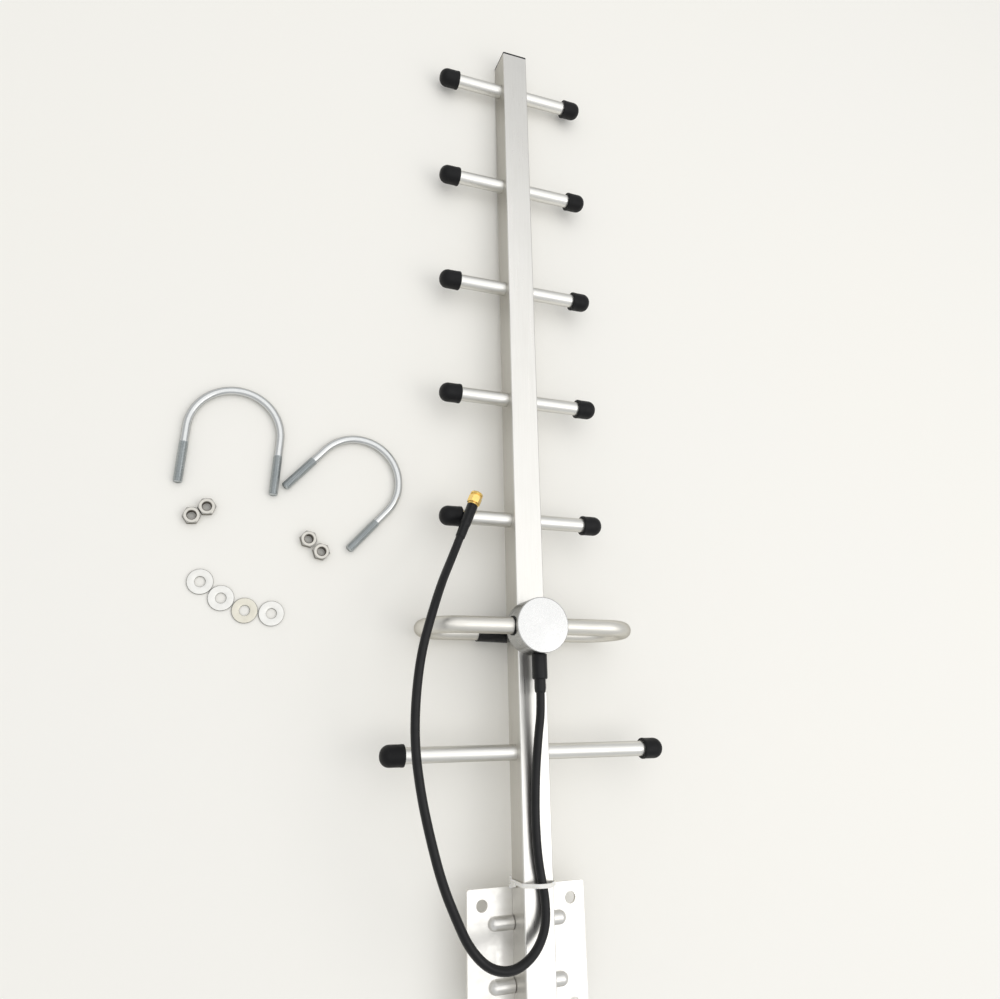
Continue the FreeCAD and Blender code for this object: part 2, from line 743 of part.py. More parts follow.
def make_tie():
    """Nylon tie: a strap round boom and lead, its lock behind the boom and a short cut tail."""
    strap = size("tie_strap")
    half = size("boom_width") / 2 + size("tie_slack")
    low = size("plate_thickness") - size("tie_slack")
    high = boom_front_height() + size("tie_slack")
    crown = high + 2 * size("cable_radius") + size("tie_slack")
    crown_left = size("tie_lead_offset") - size("tie_crown_half")
    crown_right = size("tie_lead_offset") + size("tie_crown_half")
    inner = [
        (-half, low),
        (half, low),
        (half, high),
        (crown_right, crown),
        (crown_left, crown),
        (-half, high),
    ]
    outer = [
        (-half - strap, low - strap),
        (half + strap, low - strap),
        (half + strap, high + strap / 2),
        (crown_right + strap / 2, crown + strap),
        (crown_left - strap / 2, crown + strap),
        (-half - strap, high + strap / 2),
    ]
    near = size("tie_station") - size("tie_width") / 2

    def slab(outline):
        points = [Vector(x, near, z) for x, z in outline]
        return Part.Face(Part.makePolygon(points + points[:1])).extrude(Y_AXIS * size("tie_width"))

    ring = slab(outer).cut(slab(inner))
    lock_near = size("tie_station") - size("tie_lock_width") / 2
    lock_corner = Vector(-half, lock_near, low - size("tie_lock_height") - strap / 2)
    lock = Part.makeBox(size("tie_lock_length"), size("tie_lock_width"), size("tie_lock_height"), lock_corner)
    tail_corner = Vector(-half - 1.7 * strap, near, low + strap / 2)
    tail = Part.makeBox(strap, size("tie_width"), size("tie_tail_length"), tail_corner)
    tail.rotate(Vector(-half, near, low + size("tie_tail_length")), X_AXIS, -size("tie_tail_lean"))
    tie = doc.addObject("Part::Feature", "tie_solid")
    tie.Shape = ring.fuse([lock, tail]).removeSplitter()
    keep("cable_tie", tie)


# ---------------------------------------------------------------- plug


def plug_placement(offset=0.0):
    """Local Z runs out of the cable's end, along its last run."""
    end, before = Vector(*CABLE_ROUTE[-1]), Vector(*CABLE_ROUTE[-2])
    direction = end - before
    direction.normalize()
    return Placement(end + direction * offset, Rotation(Z_AXIS, direction))


def make_plug():
    """Coaxial plug: heat-shrunk sleeve over the ferrule, body, dielectric, pin and a free coupling nut."""
    collar = size("sleeve_length")
    nut_start = collar + size("coupling_gap")
    along = (0, 0, 1)
    foot = (0, 0, 0)
    ferrule_start = (0, 0, collar - size("ferrule_length"))
    shrink = cone("shrink_cone", "sleeve_start_radius", "sleeve_end_radius", "sleeve_length", foot, along)
    shrink_bore = cylinder("shrink_bore", "ferrule_radius + fit_gap", "ferrule_length", ferrule_start, along)
    keep("plug_shrink_sleeve", cut("shrink_bored", shrink, [shrink_bore]), plug_placement())

    mouth = "coupling_length - 1.5"
    bottom = (0, 0, collar - 2)
    pieces = [
        cylinder("ferrule", "ferrule_radius", "ferrule_length", ferrule_start, along),
        cylinder("shoulder", "sleeve_end_radius", "connector_shoulder", (0, 0, collar), along),
        cylinder("neck", "connector_neck_radius", mouth, (0, 0, collar), along),
        cylinder("retaining_ring", "connector_flange_radius", "1.0", (0, 0, nut_start + 2.0), along),
    ]
    bore = cylinder("plug_bore", "connector_bore_radius", "coupling_length", bottom, along)
    keep("plug_body", cut("plug_body_bored", fuse("plug_body_blank", pieces), [bore]), plug_placement())

    filling_radius = "connector_bore_radius - 0.02"
    filling = cylinder("dielectric_bar", filling_radius, "coupling_length - 2.5", bottom, along)
    pin_hole = cylinder("pin_hole", "connector_pin_radius + 0.02", "coupling_length", bottom, along)
    keep("plug_dielectric", cut("dielectric_bored", filling, [pin_hole]), plug_placement())
    pin = cylinder("pin_bar", "connector_pin_radius", "coupling_length - 0.5", foot, along)
    keep("plug_pin", pin, plug_placement(collar - 2))

    def outline(sketch):
        draw_hexagon(sketch, "coupling_across_flats")

    hexagon = extruded_body("coupling_hexagon", "coupling_length - coupling_collar_length", outline)
    rim_start = (0, 0, size("coupling_length") - size("coupling_collar_length"))
    rim = cylinder("coupling_rim", "coupling_collar_radius", "coupling_collar_length", rim_start, along)
    throat = cylinder("coupling_throat", "connector_neck_radius + 0.3", "2", (0, 0, -0.1), along)
    thread = cylinder("coupling_thread", "coupling_bore_radius", "coupling_length", (0, 0, 1.6), along)
    coupling = cut("coupling", fuse("coupling_blank", [hexagon, rim]), [throat, thread])
    keep("plug_coupling_nut", coupling, plug_placement(nut_start))


# ---------------------------------------------------------------- mast bracket


def louvre_form(name, radius, direction, station):
    """A round bar along X from the boom's side, its outer end closed by a ball."""
    inner = direction * (size("boom_width") / 2 + size("louvre_gap"))
    length = "louvre_length - louvre_radius"
    start = (inner, station, size("plate_thickness"))
    bar = cylinder(name + "_bar", radius, length, start, (direction, 0, 0))
    ball_x = inner + direction * (size("louvre_length") - size("louvre_radius"))
    ball_place = aim((ball_x, station, size("plate_thickness")), (0, 0, 1))
    ball = part_object("Sphere", name + "_ball", {"Radius": radius}, ball_place)
    return fuse(name, [bar, ball])


def make_plate():
    """Square plate with four bolt holes and four pressed louvres, open towards the boom's sides."""
    half_pattern = "plate_hole_spacing / 2"

    def outline(sketch):
        draw_rectangle(sketch, "plate_side", "plate_side")
        for signs in ((1, 1), (-1, 1), (-1, -1), (1, -1)):
            draw_circle(sketch, "plate_hole_radius", half_pattern, half_pattern, signs)

    sheet_body = extruded_body("plate_sheet", "plate_thickness", outline)
    half = size("plate_side") / 2
    round_edges(
        sheet_body, "plate_corners", "plate_corner",
        lambda edge: edge.BoundBox.ZLength > 1 and abs(abs(edge.CenterOfMass.x) - half) < 0.01,
    )
    bumps, hollows = [], []
    middle = size("louvre_offset")
    for direction in (-1, 1):
        for station in (middle - size("louvre_pitch") / 2, middle + size("louvre_pitch") / 2):
            bumps.append(louvre_form("louvre_outer", "louvre_radius", direction, station))
            hollows.append(louvre_form("louvre_inner", "louvre_radius - louvre_wall", direction, station))
    above = box("above_the_back", "plate_side", "plate_side", "plate_side / 4", (-half, -half, 0))
    raised = doc.addObject("Part::Common", "plate_pressed_front")
    raised.Base = fuse("plate_with_bumps", [sheet_body] + bumps)
    raised.Tool = above
    sinks = []
    neck = "plate_screw_radius + screw_gap"
    for station in plate_screw_stations():
        start = (0, station, 0)
        sinks.append(cone("screw_sink", "plate_screw_head", neck, "plate_thickness", start, (0, 0, 1)))
    keep("bracket_plate", cut("plate_pressed", raised, hollows + sinks))


def make_plate_screws():
    """Countersunk screws, flush with the plate's back, that hold it to the boom."""
    screws = []
    shank_radius = "plate_screw_radius"
    for station in plate_screw_stations():
        start = (0, station, 0)
        head = cone("sunk_head", "plate_screw_head", shank_radius, "plate_thickness", start, (0, 0, 1))
        shank = cylinder("sunk_shank", shank_radius, "plate_screw_length", start, (0, 0, 1))
        screws.append(fuse("sunk_screw", [head, shank]))
    keep("bracket_screws", group("plate_screw_group", screws))


# ---------------------------------------------------------------- loose clamp hardware


def table_slope():
    """The antenna lies on its dipole and on its tip, so the table rises towards the tip."""
    dipole_foot = boom_axis_height() - size("dipole_spacing") / 2 - size("dipole_radius")
    tip = size("boom_length") - size("boom_rear") + size("plug_flange")
    return (size("plate_thickness") - dipole_foot) / (tip - size("dipole_station"))


def on_table(x, y, lift, turn=0.0):
    """A placement on the table, lifted off it and turned about the upright."""
    dipole_foot = boom_axis_height() - size("dipole_spacing") / 2 - size("dipole_radius")
    height = dipole_foot + (y - size("dipole_station")) * table_slope() + lift
    tilt = Rotation(X_AXIS, math.degrees(math.atan(table_slope())))
    return Placement(Vector(x, y, height), tilt.multiply(Rotation(Z_AXIS, turn)))


def make_u_bolt(label, x, y, lean):
    """Half ring and two legs of plain rod, with a thicker threaded length on each leg."""
    bend = size("ubolt_leg_spacing") / 2
    formulas = {"Radius1": "ubolt_leg_spacing / 2", "Radius2": "ubolt_rod_radius"}
    ring = part_object("Torus", label + "_bow", formulas)
    ring.Angle3 = 180
    ring.Placement = Placement(Vector(0, size("ubolt_leg_length"), 0), Rotation())
    pieces = [ring]
    for direction in (-1, 1):
        foot = (direction * bend, 0, 0)
        leg = cylinder(label + "_leg", "ubolt_rod_radius", "ubolt_leg_length", foot, (0, 1, 0))
        thread = cylinder(label + "_thread", "ubolt_thread_radius", "ubolt_thread_length", foot, (0, 1, 0))
        pieces.extend([leg, thread])
    keep(label, fuse(label + "_solid", pieces), on_table(x, y, size("ubolt_thread_radius"), -lean))


def make_nut_envelope(name):
    """Two cones, base to base, that take the corners off both faces of a nut."""
    narrow = "nut_across_flats / 2 - nut_face_inset"
    wide = narrow + " + nut_height / 2 * sqrt( 3 )"
    upper = cone(name + "_upper", wide, narrow, "nut_height / 2", (0, 0, size("nut_height") / 2), (0, 0, 1))
    lower = cone(name + "_lower", narrow, wide, "nut_height / 2", (0, 0, 0), (0, 0, 1))
    return fuse(name, [upper, lower])


def make_nuts():
    """Hexagon nuts lying flat on the table."""
    def outline(sketch):
        draw_hexagon(sketch, "nut_across_flats")
        draw_circle(sketch, "nut_bore_radius")

    nuts = []
    for number, (x, y, turn) in enumerate(NUT_PLACES, start=1):
        blank = extruded_body("nut_%d_blank" % number, "nut_height", outline)
        dressed = doc.addObject("Part::Common", "nut_%d" % number)
        dressed.Base = blank
        dressed.Tool = make_nut_envelope("nut_%d_envelope" % number)
        dressed.Placement = on_table(x, y, 0, turn)
        nuts.append(dressed)
    keep("hex_nuts", group("nut_group", nuts))


def make_washers():
    """Flat washers lying side by side on the table."""
    def outline(sketch):
        draw_circle(sketch, "washer_radius")
        draw_circle(sketch, "washer_bore_radius")

    washers = []
    for number, (x, y) in enumerate(WASHER_PLACES, start=1):
        disc = extruded_body("washer_%d" % number, "washer_thickness", outline)
        disc.Placement = on_table(x, y, 0)
        washers.append(disc)
    keep("flat_washers", group("washer_group", washers))


def check_and_write():
    """Stop on any failed feature or bad shape, then write one file for each sub-part."""
    doc.recompute()
    for thing in doc.Objects:
        if "Invalid" in thing.State or "Error" in thing.State:
            raise RuntimeError("%s failed: %s" % (thing.Label, thing.State))
    for node in nodes:
        if node.Shape.isNull() or not node.Shape.isValid():
            raise RuntimeError("%s has a bad shape" % node.Label)
    os.makedirs("parts", exist_ok=True)
    for node in nodes:
        node.Shape.exportStep("parts/%s.step" % node.Label)
        print("%-26s solids %d, volume %.1f mm3" % (node.Label, len(node.Shape.Solids), node.Shape.Volume))
    print("%d sub-parts" % len(nodes))


def main():
    fill_sheet()
    make_boom()
    tip = size("boom_length") - size("boom_rear")
    make_end_plug("boom_end_plug_front", tip, 1)
    make_end_plug("boom_end_plug_rear", -size("boom_rear"), -1)
    for name, station, span in element_stations():
        make_element(name, station, span)
    make_element_screws()
    make_dipole()
    make_saddle()
    make_housing()
    make_base()
    make_insulator()
    make_terminals()
    make_grommets()
    make_exit()
    make_cable()
    make_tie()
    make_plug()
    make_plate()
    make_plate_screws()
    for label, (x, y, lean) in UBOLT_PLACES.items():
        make_u_bolt(label, x, y, lean)
    make_nuts()
    make_washers()
    check_and_write()


main()
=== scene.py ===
import json
import math

import bmesh
import bpy
from mathutils import Matrix, Vector


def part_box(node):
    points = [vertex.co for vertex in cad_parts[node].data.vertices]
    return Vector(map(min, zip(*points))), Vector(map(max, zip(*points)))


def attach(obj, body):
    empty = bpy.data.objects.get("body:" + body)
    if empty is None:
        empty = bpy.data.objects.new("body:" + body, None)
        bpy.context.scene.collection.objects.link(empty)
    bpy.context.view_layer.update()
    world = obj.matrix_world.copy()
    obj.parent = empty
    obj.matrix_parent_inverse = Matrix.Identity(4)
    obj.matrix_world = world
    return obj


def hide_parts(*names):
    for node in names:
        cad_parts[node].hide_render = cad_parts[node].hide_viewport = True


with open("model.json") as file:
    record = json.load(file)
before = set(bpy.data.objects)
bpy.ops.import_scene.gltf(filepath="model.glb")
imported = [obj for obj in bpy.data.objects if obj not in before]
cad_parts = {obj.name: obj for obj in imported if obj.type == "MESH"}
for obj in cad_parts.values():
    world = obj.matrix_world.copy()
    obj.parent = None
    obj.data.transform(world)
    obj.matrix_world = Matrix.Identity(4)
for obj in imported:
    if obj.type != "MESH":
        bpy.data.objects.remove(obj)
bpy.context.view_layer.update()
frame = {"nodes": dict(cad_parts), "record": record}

# Looks for a seven-element Yagi antenna lying on a pale table, with its clamp hardware beside it.
# Sizes are in metres in the CAD frame unless a name ends in _mm; pieces built here start in
# millimetres in their own local frame and are placed with a matrix.

NODES = frame["nodes"]
MAIN_BODY = "antenna"

CAMERA_PLACE = (-0.2151, 0.1368, 0.5223)
CAMERA_TURN_DEG = (16.098, -20.928, -1.170)
CAMERA_LENS_MM = 29.2

# The boom's middle height, and where the feed housing and the dipole stand along it.
BOOM_MIDDLE_Z = 0.012
HOUSING_Y = 0.200

# The antenna rests on its dipole and on its tip, so the table rises towards the tip.
TABLE_PIVOT = Vector((0.0, HOUSING_Y, -0.01425))
TABLE_SLOPE = 16.25 / 469.5

# The lead's route is a list of control points from the housing to the plug.
CABLE_DIAMETER = 0.0056
CABLE_ROUTE = [
    (0, 0.1575, 0.0335),
    (0, 0.146, 0.0335),
    (-0.001, 0.130, 0.030),
    (-0.002, 0.107, 0.0265),
    (-0.0025, 0.082, 0.025),
    (-0.0015, 0.057, 0.0252),
    (0.003, 0.035, 0.025),
    (0.001, 0.019, 0.028),
    (-0.009, 0.007, 0.033),
    (-0.024, 0.001, 0.037),
    (-0.040, 0.005, 0.041),
    (-0.052, 0.017, 0.042),
    (-0.060, 0.032, 0.044),
    (-0.069, 0.052, 0.045),
    (-0.076, 0.076, 0.045),
    (-0.082, 0.100, 0.046),
    (-0.086, 0.127, 0.046),
    (-0.086, 0.154, 0.047),
    (-0.083, 0.181, 0.048),
    (-0.076, 0.205, 0.047),
    (-0.067, 0.226, 0.038),
    (-0.058, 0.242, 0.0285),
    (-0.051, 0.258, 0.0258),
]

# Loose clamp hardware, as it lies: place in millimetres, then the turn in degrees about the table's
# upright. A U-bolt's place is the point half-way between its two leg ends.
UBOLT_PLACES = {"u_bolt_1": (-198.2, 288.0, -3.6), "u_bolt_2": (-139.8, 272.7, -42.0)}
NUT_PLACES = [(-217.6, 269.2, 35.9), (-208.9, 275.5, 35.9), (-144.4, 258.6, -42.6), (-135.8, 250.7, -42.6)]
WASHER_PLACES = [(-209.4, 227.9), (-196.3, 218.1), (-181.6, 210.8), (-165.1, 209.4)]


# ---------------------------------------------------------------- camera


def add_camera():
    camera = bpy.data.objects.new("camera", bpy.data.cameras.new("camera"))
    bpy.context.scene.collection.objects.link(camera)
    camera.data.lens = CAMERA_LENS_MM
    camera.data.sensor_width = 36.0
    camera.data.clip_start = 0.01
    camera.data.clip_end = 100.0
    camera.location = CAMERA_PLACE
    camera.rotation_euler = [math.radians(angle) for angle in CAMERA_TURN_DEG]
    bpy.context.scene.camera = camera


# ---------------------------------------------------------------- materials


# What each metal's colour fades to where it is seen at a grazing angle.
ALUMINIUM_EDGE = (0.42, 0.41, 0.38)
HOUSING_EDGE = (0.45, 0.45, 0.44)
PLATED_EDGE = (0.35, 0.35, 0.34)

# How far a pattern is drawn out along each axis: a small value makes it long on that axis.
ALONG_BOOM = (1, 0.02, 1)
ALONG_RODS = (0.02, 1, 1)
ALONG_DIPOLE = (0.1, 1, 1)


class Surface:
    """A principled material built up from noise layers in the object's own coordinates."""

    # Shifts that keep the layers' patterns from lining up.
    ROUGHNESS_OFFSET = 3.1
    GRAIN_OFFSET = 7.7

    def __init__(self, name, color, roughness, metallic=0.0, edge=(1.0, 1.0, 1.0)):
        self.material = bpy.data.materials.new(name)
        self.material.use_nodes = True
        self.tree = self.material.node_tree
        self.shader = self.tree.nodes["Principled BSDF"]
        self.color = color
        self.roughness = roughness
        self.shader.inputs["Base Color"].default_value = (*color, 1.0)
        self.shader.inputs["Roughness"].default_value = roughness
        self.shader.inputs["Metallic"].default_value = metallic
        self.shader.inputs["Specular Tint"].default_value = (*edge, 1.0)
        self.coordinates = self.tree.nodes.new("ShaderNodeTexCoord").outputs["Object"]
        self.last_normal = None

    def link(self, source, target):
        self.tree.links.new(source, target)

    def noise(self, scale, stretch=(1, 1, 1), detail=3.0, offset=0.0):
        """Noise with features of about 1/scale metres, drawn out along an axis by a small stretch."""
        mapping = self.tree.nodes.new("ShaderNodeMapping")
        mapping.inputs["Scale"].default_value = stretch
        mapping.inputs["Location"].default_value = (offset, offset, offset)
        self.link(self.coordinates, mapping.inputs["Vector"])
        texture = self.tree.nodes.new("ShaderNodeTexNoise")
        texture.inputs["Scale"].default_value = scale
        texture.inputs["Detail"].default_value = detail
        self.link(mapping.outputs["Vector"], texture.inputs["Vector"])
        return texture.outputs["Fac"]

    def spread(self, value, low, high, from_low=0.3, from_high=0.7):
        """Map a value from one range to another; the usual first range is where noise mostly lies."""
        node = self.tree.nodes.new("ShaderNodeMapRange")
        node.inputs["From Min"].default_value = from_low
        node.inputs["From Max"].default_value = from_high
        node.inputs["To Min"].default_value = low
        node.inputs["To Max"].default_value = high
        self.link(value, node.inputs["Value"])
        return node.outputs["Result"]

    def math(self, operation, first, second=None):
        node = self.tree.nodes.new("ShaderNodeMath")
        node.operation = operation
        for socket, value in zip(node.inputs, (first, second)):
            if isinstance(value, (int, float)):
                socket.default_value = value
            elif value is not None:
                self.link(value, socket)
        return node.outputs["Value"]

    def axis(self, name):
        """One coordinate of the surface point."""
        node = self.tree.nodes.new("ShaderNodeSeparateXYZ")
        self.link(self.coordinates, node.inputs["Vector"])
        return node.outputs[name]

    def tint(self, mask, other):
        """Lay another colour over the surface where a 0-1 mask is high."""
        node = self.tree.nodes.new("ShaderNodeMix")
        node.data_type = "RGBA"
        first, second = [socket for socket in node.inputs if socket.type == "RGBA"]
        existing = self.shader.inputs["Base Color"]
        if existing.is_linked:
            self.link(existing.links[0].from_socket, first)
        else:
            first.default_value = (*self.color, 1.0)
        second.default_value = (*other, 1.0)
        self.link(mask, node.inputs["Factor"])
        self.link([socket for socket in node.outputs if socket.type == "RGBA"][0], existing)
        return self

    def mottle(self, scale, other, amount, stretch=(1, 1, 1), offset=0.0):
        """Soft patches of another colour."""
        return self.tint(self.spread(self.noise(scale, stretch, offset=offset), 0.0, amount), other)

    def vary_roughness(self, scale, amount, stretch=(1, 1, 1)):
        """Patches that are shinier or duller by the same amount."""
        low = max(0.02, self.roughness - amount)
        high = min(1.0, self.roughness + amount)
        pattern = self.noise(scale, stretch, offset=self.ROUGHNESS_OFFSET)
        self.link(self.spread(pattern, low, high), self.shader.inputs["Roughness"])
        return self

    def bump(self, height, strength, distance):
        """Add relief; later calls stack on earlier ones."""
        node = self.tree.nodes.new("ShaderNodeBump")
        node.inputs["Strength"].default_value = strength
        node.inputs["Distance"].default_value = distance
        self.link(height, node.inputs["Height"])
        if self.last_normal is not None:
            self.link(self.last_normal, node.inputs["Normal"])
        self.last_normal = node.outputs["Normal"]
        self.link(self.last_normal, self.shader.inputs["Normal"])
        return self

    def grain(self, scale, strength, distance, stretch=(1, 1, 1)):
        """Fine relief."""
        pattern = self.noise(scale, stretch, detail=2.0, offset=self.GRAIN_OFFSET)
        return self.bump(pattern, strength, distance)


def drawn_metal(name, color, roughness, stretch, darker, lighter):
    """Extruded or drawn aluminium: fine lines along its length, faint patches and hairline scratches."""
    surface = Surface(name, color, roughness, metallic=1.0, edge=ALUMINIUM_EDGE)
    surface.mottle(28, darker, 0.45)
    surface.mottle(1500, lighter, 0.35, stretch)
    surface.vary_roughness(900, 0.05, stretch)
    surface.grain(2600, 0.12, 0.00005, stretch)
    scratch_stretch = tuple(0.35 + value for value in stretch)
    scratch = surface.spread(surface.noise(420, scratch_stretch), 0, 1, from_low=0.69, from_high=0.74)
    surface.tint(surface.math("MULTIPLY", scratch, 0.25), darker)
    return surface


def make_boom_metal():
    """Drawn aluminium, worn brighter within a millimetre of the boom's four long edges."""
    wear_start, wear_end = 0.0091, 0.0099
    surface = drawn_metal(
        "boom_aluminium", (0.77, 0.755, 0.72), 0.32, ALONG_BOOM, (0.70, 0.685, 0.645), (0.84, 0.83, 0.80),
    )
    across = surface.math("ABSOLUTE", surface.axis("X"))
    height = surface.math("ABSOLUTE", surface.math("SUBTRACT", surface.axis("Z"), BOOM_MIDDLE_Z))
    nearest = surface.math("MINIMUM", across, height)
    edge = surface.spread(nearest, 0.0, 0.7, from_low=wear_start, from_high=wear_end)
    worn = surface.math("MULTIPLY", edge, surface.spread(surface.noise(160), 0.35, 1.0))
    surface.tint(worn, (0.92, 0.915, 0.90))
    return surface.material


def make_housing_metal():
    """Turned metal: faint rings about the housing's own axis, and painted shade that darkens the rim."""
    ring_pitch, rim_start, rim_end = 0.0007, 0.0172, 0.0179
    surface = Surface("housing_metal", (0.68, 0.68, 0.675), 0.26, metallic=1.0, edge=HOUSING_EDGE)
    x = surface.axis("X")
    y = surface.math("SUBTRACT", surface.axis("Y"), HOUSING_Y)
    squares = surface.math("ADD", surface.math("MULTIPLY", x, x), surface.math("MULTIPLY", y, y))
    radius = surface.math("SQRT", squares)
    rings = surface.math("SINE", surface.math("MULTIPLY", radius, 2 * math.pi / ring_pitch))
    surface.mottle(45, (0.65, 0.65, 0.64), 0.5)
    surface.tint(surface.spread(rings, 0.0, 0.12, from_low=-1, from_high=1), (0.70, 0.70, 0.69))
    surface.vary_roughness(300, 0.05)
    surface.bump(rings, 0.12, 0.00004)
    # Painted shade: a darker band round the rim stands for the shade on its rounded edge.
    rim_shade = surface.spread(radius, 0.0, 0.5, from_low=rim_start, from_high=rim_end)
    surface.tint(rim_shade, (0.60, 0.60, 0.59))
    surface.grain(1800, 0.06, 0.00004)
    return surface.material


def make_sheet_metal():
    """Zinc-plated sheet: small spangle patches, rolling lines and a few handling marks."""
    surface = Surface("bracket_sheet", (0.80, 0.785, 0.75), 0.36, metallic=1.0)
    surface.mottle(90, (0.75, 0.735, 0.70), 0.5)
    surface.mottle(340, (0.85, 0.84, 0.815), 0.4, (0.08, 1, 1))
    surface.vary_roughness(260, 0.07)
    surface.grain(700, 0.10, 0.00005, (0.15, 1, 1))
    smudge = surface.spread(surface.noise(22, offset=5.0), 0, 0.15, from_low=0.50, from_high=0.75)
    surface.tint(smudge, (0.72, 0.72, 0.70))
    return surface.material


# Plated and small metal parts: colour, roughness, colour of the darker clouds and of the lighter ones.
PLATED_LOOKS = {
    "zinc_rod": ((0.66, 0.67, 0.665), 0.20, (0.58, 0.595, 0.60), (0.74, 0.745, 0.74)),
    "thread_zinc": ((0.53, 0.56, 0.565), 0.36, (0.43, 0.465, 0.48), (0.64, 0.66, 0.66)),
    "nut_steel": ((0.58, 0.56, 0.515), 0.24, (0.46, 0.44, 0.40), (0.68, 0.66, 0.62)),
    # Painted shade: the nuts' thread is darkened to stand for the shade inside the bore.
    "nut_bore_shade": ((0.30, 0.28, 0.25), 0.40, (0.22, 0.205, 0.18), (0.40, 0.38, 0.34)),
    "washer_zinc": ((0.755, 0.75, 0.72), 0.42, (0.67, 0.66, 0.63), (0.79, 0.785, 0.76)),
    "washer_yellow": ((0.66, 0.635, 0.55), 0.38, (0.56, 0.53, 0.44), (0.75, 0.73, 0.66)),
    # Painted shade: a dark finish for the washers' rims and hole walls, standing for their edge shade.
    "washer_edge_shade": ((0.36, 0.355, 0.33), 0.40, (0.28, 0.275, 0.25), (0.46, 0.455, 0.43)),
    "small_screw_steel": ((0.70, 0.70, 0.69), 0.30, (0.6, 0.6, 0.59), (0.8, 0.8, 0.79)),
    "tinned_brass": ((0.74, 0.72, 0.64), 0.30, (0.64, 0.61, 0.50), (0.82, 0.81, 0.76)),
    "copper_lead": ((0.80, 0.45, 0.28), 0.30, (0.62, 0.32, 0.18), (0.88, 0.56, 0.38)),
}


def plated(name, color, roughness, darker, lighter):
    """Plating or bare small metal: cloudy colour and slightly uneven shine."""
    surface = Surface(name, color, roughness, metallic=1.0, edge=PLATED_EDGE)
    surface.mottle(120, darker, 0.45)
    surface.mottle(900, lighter, 0.25, offset=2.0)
    surface.vary_roughness(400, 0.06)
    surface.grain(2200, 0.07, 0.00004)
    return surface.material


def moulded(name, color, roughness, lighter, shine=0.3, scale=700, strength=0.25):
    """Rubber or plastic: fine texture, faint bloom and a little dust."""
    surface = Surface(name, color, roughness)
    surface.shader.inputs["Specular IOR Level"].default_value = shine
    surface.mottle(70, lighter, 0.7)
    surface.vary_roughness(240, 0.08)
    surface.grain(scale, strength, 0.0001)
    dust = surface.spread(surface.noise(2400, offset=9.0), 0, 0.3, from_low=0.72, from_high=0.78)
    dust_color = tuple(min(1.0, 2.0 * value + 0.03) for value in lighter)
    surface.tint(dust, dust_color)
    return surface.material


def make_nylon():
    """White nylon: light soaks in a little."""
    surface = Surface("white_nylon", (0.90, 0.885, 0.85), 0.38)
    surface.shader.inputs["Subsurface Weight"].default_value = 0.25
    surface.shader.inputs["Subsurface Radius"].default_value = (0.002, 0.0018, 0.0015)
    surface.mottle(300, (0.80, 0.785, 0.74), 0.6)
    surface.vary_roughness(300, 0.08)
    surface.grain(900, 0.15, 0.00006)
    return surface.material


def make_gold():
    """Gold plating, slightly cloudy."""
    surface = Surface("gold_plate", (1.0, 0.72, 0.25), 0.24, metallic=1.0)
    surface.mottle(400, (0.90, 0.60, 0.17), 0.5)
    surface.vary_roughness(700, 0.07)
    surface.grain(2600, 0.12, 0.00004)
    return surface.material


def make_table_top():
    """A pale matt surface with very faint, wide patches."""
    surface = Surface("table_top", (0.93, 0.91, 0.855), 0.65)
    surface.mottle(3.0, (0.92, 0.905, 0.865), 0.6)
    surface.vary_roughness(60, 0.06)
    return surface.material


def make_materials():
    """Every finish, by the name of the slot or face group that wears it."""
    rod = drawn_metal(
        "element_aluminium", (0.82, 0.81, 0.775), 0.38, ALONG_RODS, (0.76, 0.75, 0.71), (0.88, 0.87, 0.84),
    )
    dipole = drawn_metal(
        "dipole_aluminium", (0.77, 0.75, 0.70), 0.40, ALONG_DIPOLE, (0.70, 0.68, 0.62), (0.84, 0.82, 0.77),
    )
    black, bloom = (0.0045, 0.0045, 0.005), (0.010, 0.010, 0.011)
    ivory, pale_bloom = (0.80, 0.79, 0.75), (0.86, 0.85, 0.82)
    materials = {
        "boom_aluminium": make_boom_metal(),
        "element_aluminium": rod.material,
        "dipole_aluminium": dipole.material,
        "housing_metal": make_housing_metal(),
        "bracket_sheet": make_sheet_metal(),
        "gold": make_gold(),
        "cap_rubber": moulded("cap_rubber", black, 0.50, bloom, shine=0.22),
        "black_plastic": moulded("black_plastic", black, 0.42, bloom, strength=0.15),
        "cable_jacket": moulded("cable_jacket", black, 0.38, bloom, scale=1100, strength=0.12),
        "shrink_tube": moulded("shrink_tube", black, 0.30, bloom, scale=350, strength=0.3),
        "insulator_plastic": moulded("insulator_plastic", ivory, 0.45, pale_bloom, shine=0.5),
        "white_nylon": make_nylon(),
    }
    for name, look in PLATED_LOOKS.items():
        materials[name] = plated(name, *look)
    return materials


# ---------------------------------------------------------------- mesh tools


def build(name, rings, closed, place, material, replaces, body=MAIN_BODY, crease_deg=32):
    """A piece skinned over equal rings of points, either joined end to end or closed with flat ends."""
    mesh = bpy.data.meshes.new(name)
    count = len(rings[0])
    points = [point for ring in rings for point in ring]
    faces = []
    for first in range(len(rings) if closed else len(rings) - 1):
        second = (first + 1) % len(rings)
        here, there = first * count, second * count
        for step in range(count):
            after = (step + 1) % count
            faces.append((here + step, here + after, there + after, there + step))
    if not closed:
        faces.append(tuple(range(count - 1, -1, -1)))
        faces.append(tuple((len(rings) - 1) * count + step for step in range(count)))
    mesh.from_pydata([tuple(value * 0.001 for value in point) for point in points], [], faces)
    mesh.transform(place)
    finish_mesh(mesh, crease_deg)
    return add_piece(name, mesh, material, body, replaces)


def finish_mesh(mesh, crease_deg):
    """Face outwards, shade smooth and keep the sharp edges sharp."""
    work = bmesh.new()
    work.from_mesh(mesh)
    bmesh.ops.recalc_face_normals(work, faces=work.faces)
    work.to_mesh(mesh)
    work.free()
    mesh.polygons.foreach_set("use_smooth", [True] * len(mesh.polygons))
    mesh.set_sharp_from_angle(angle=math.radians(crease_deg))


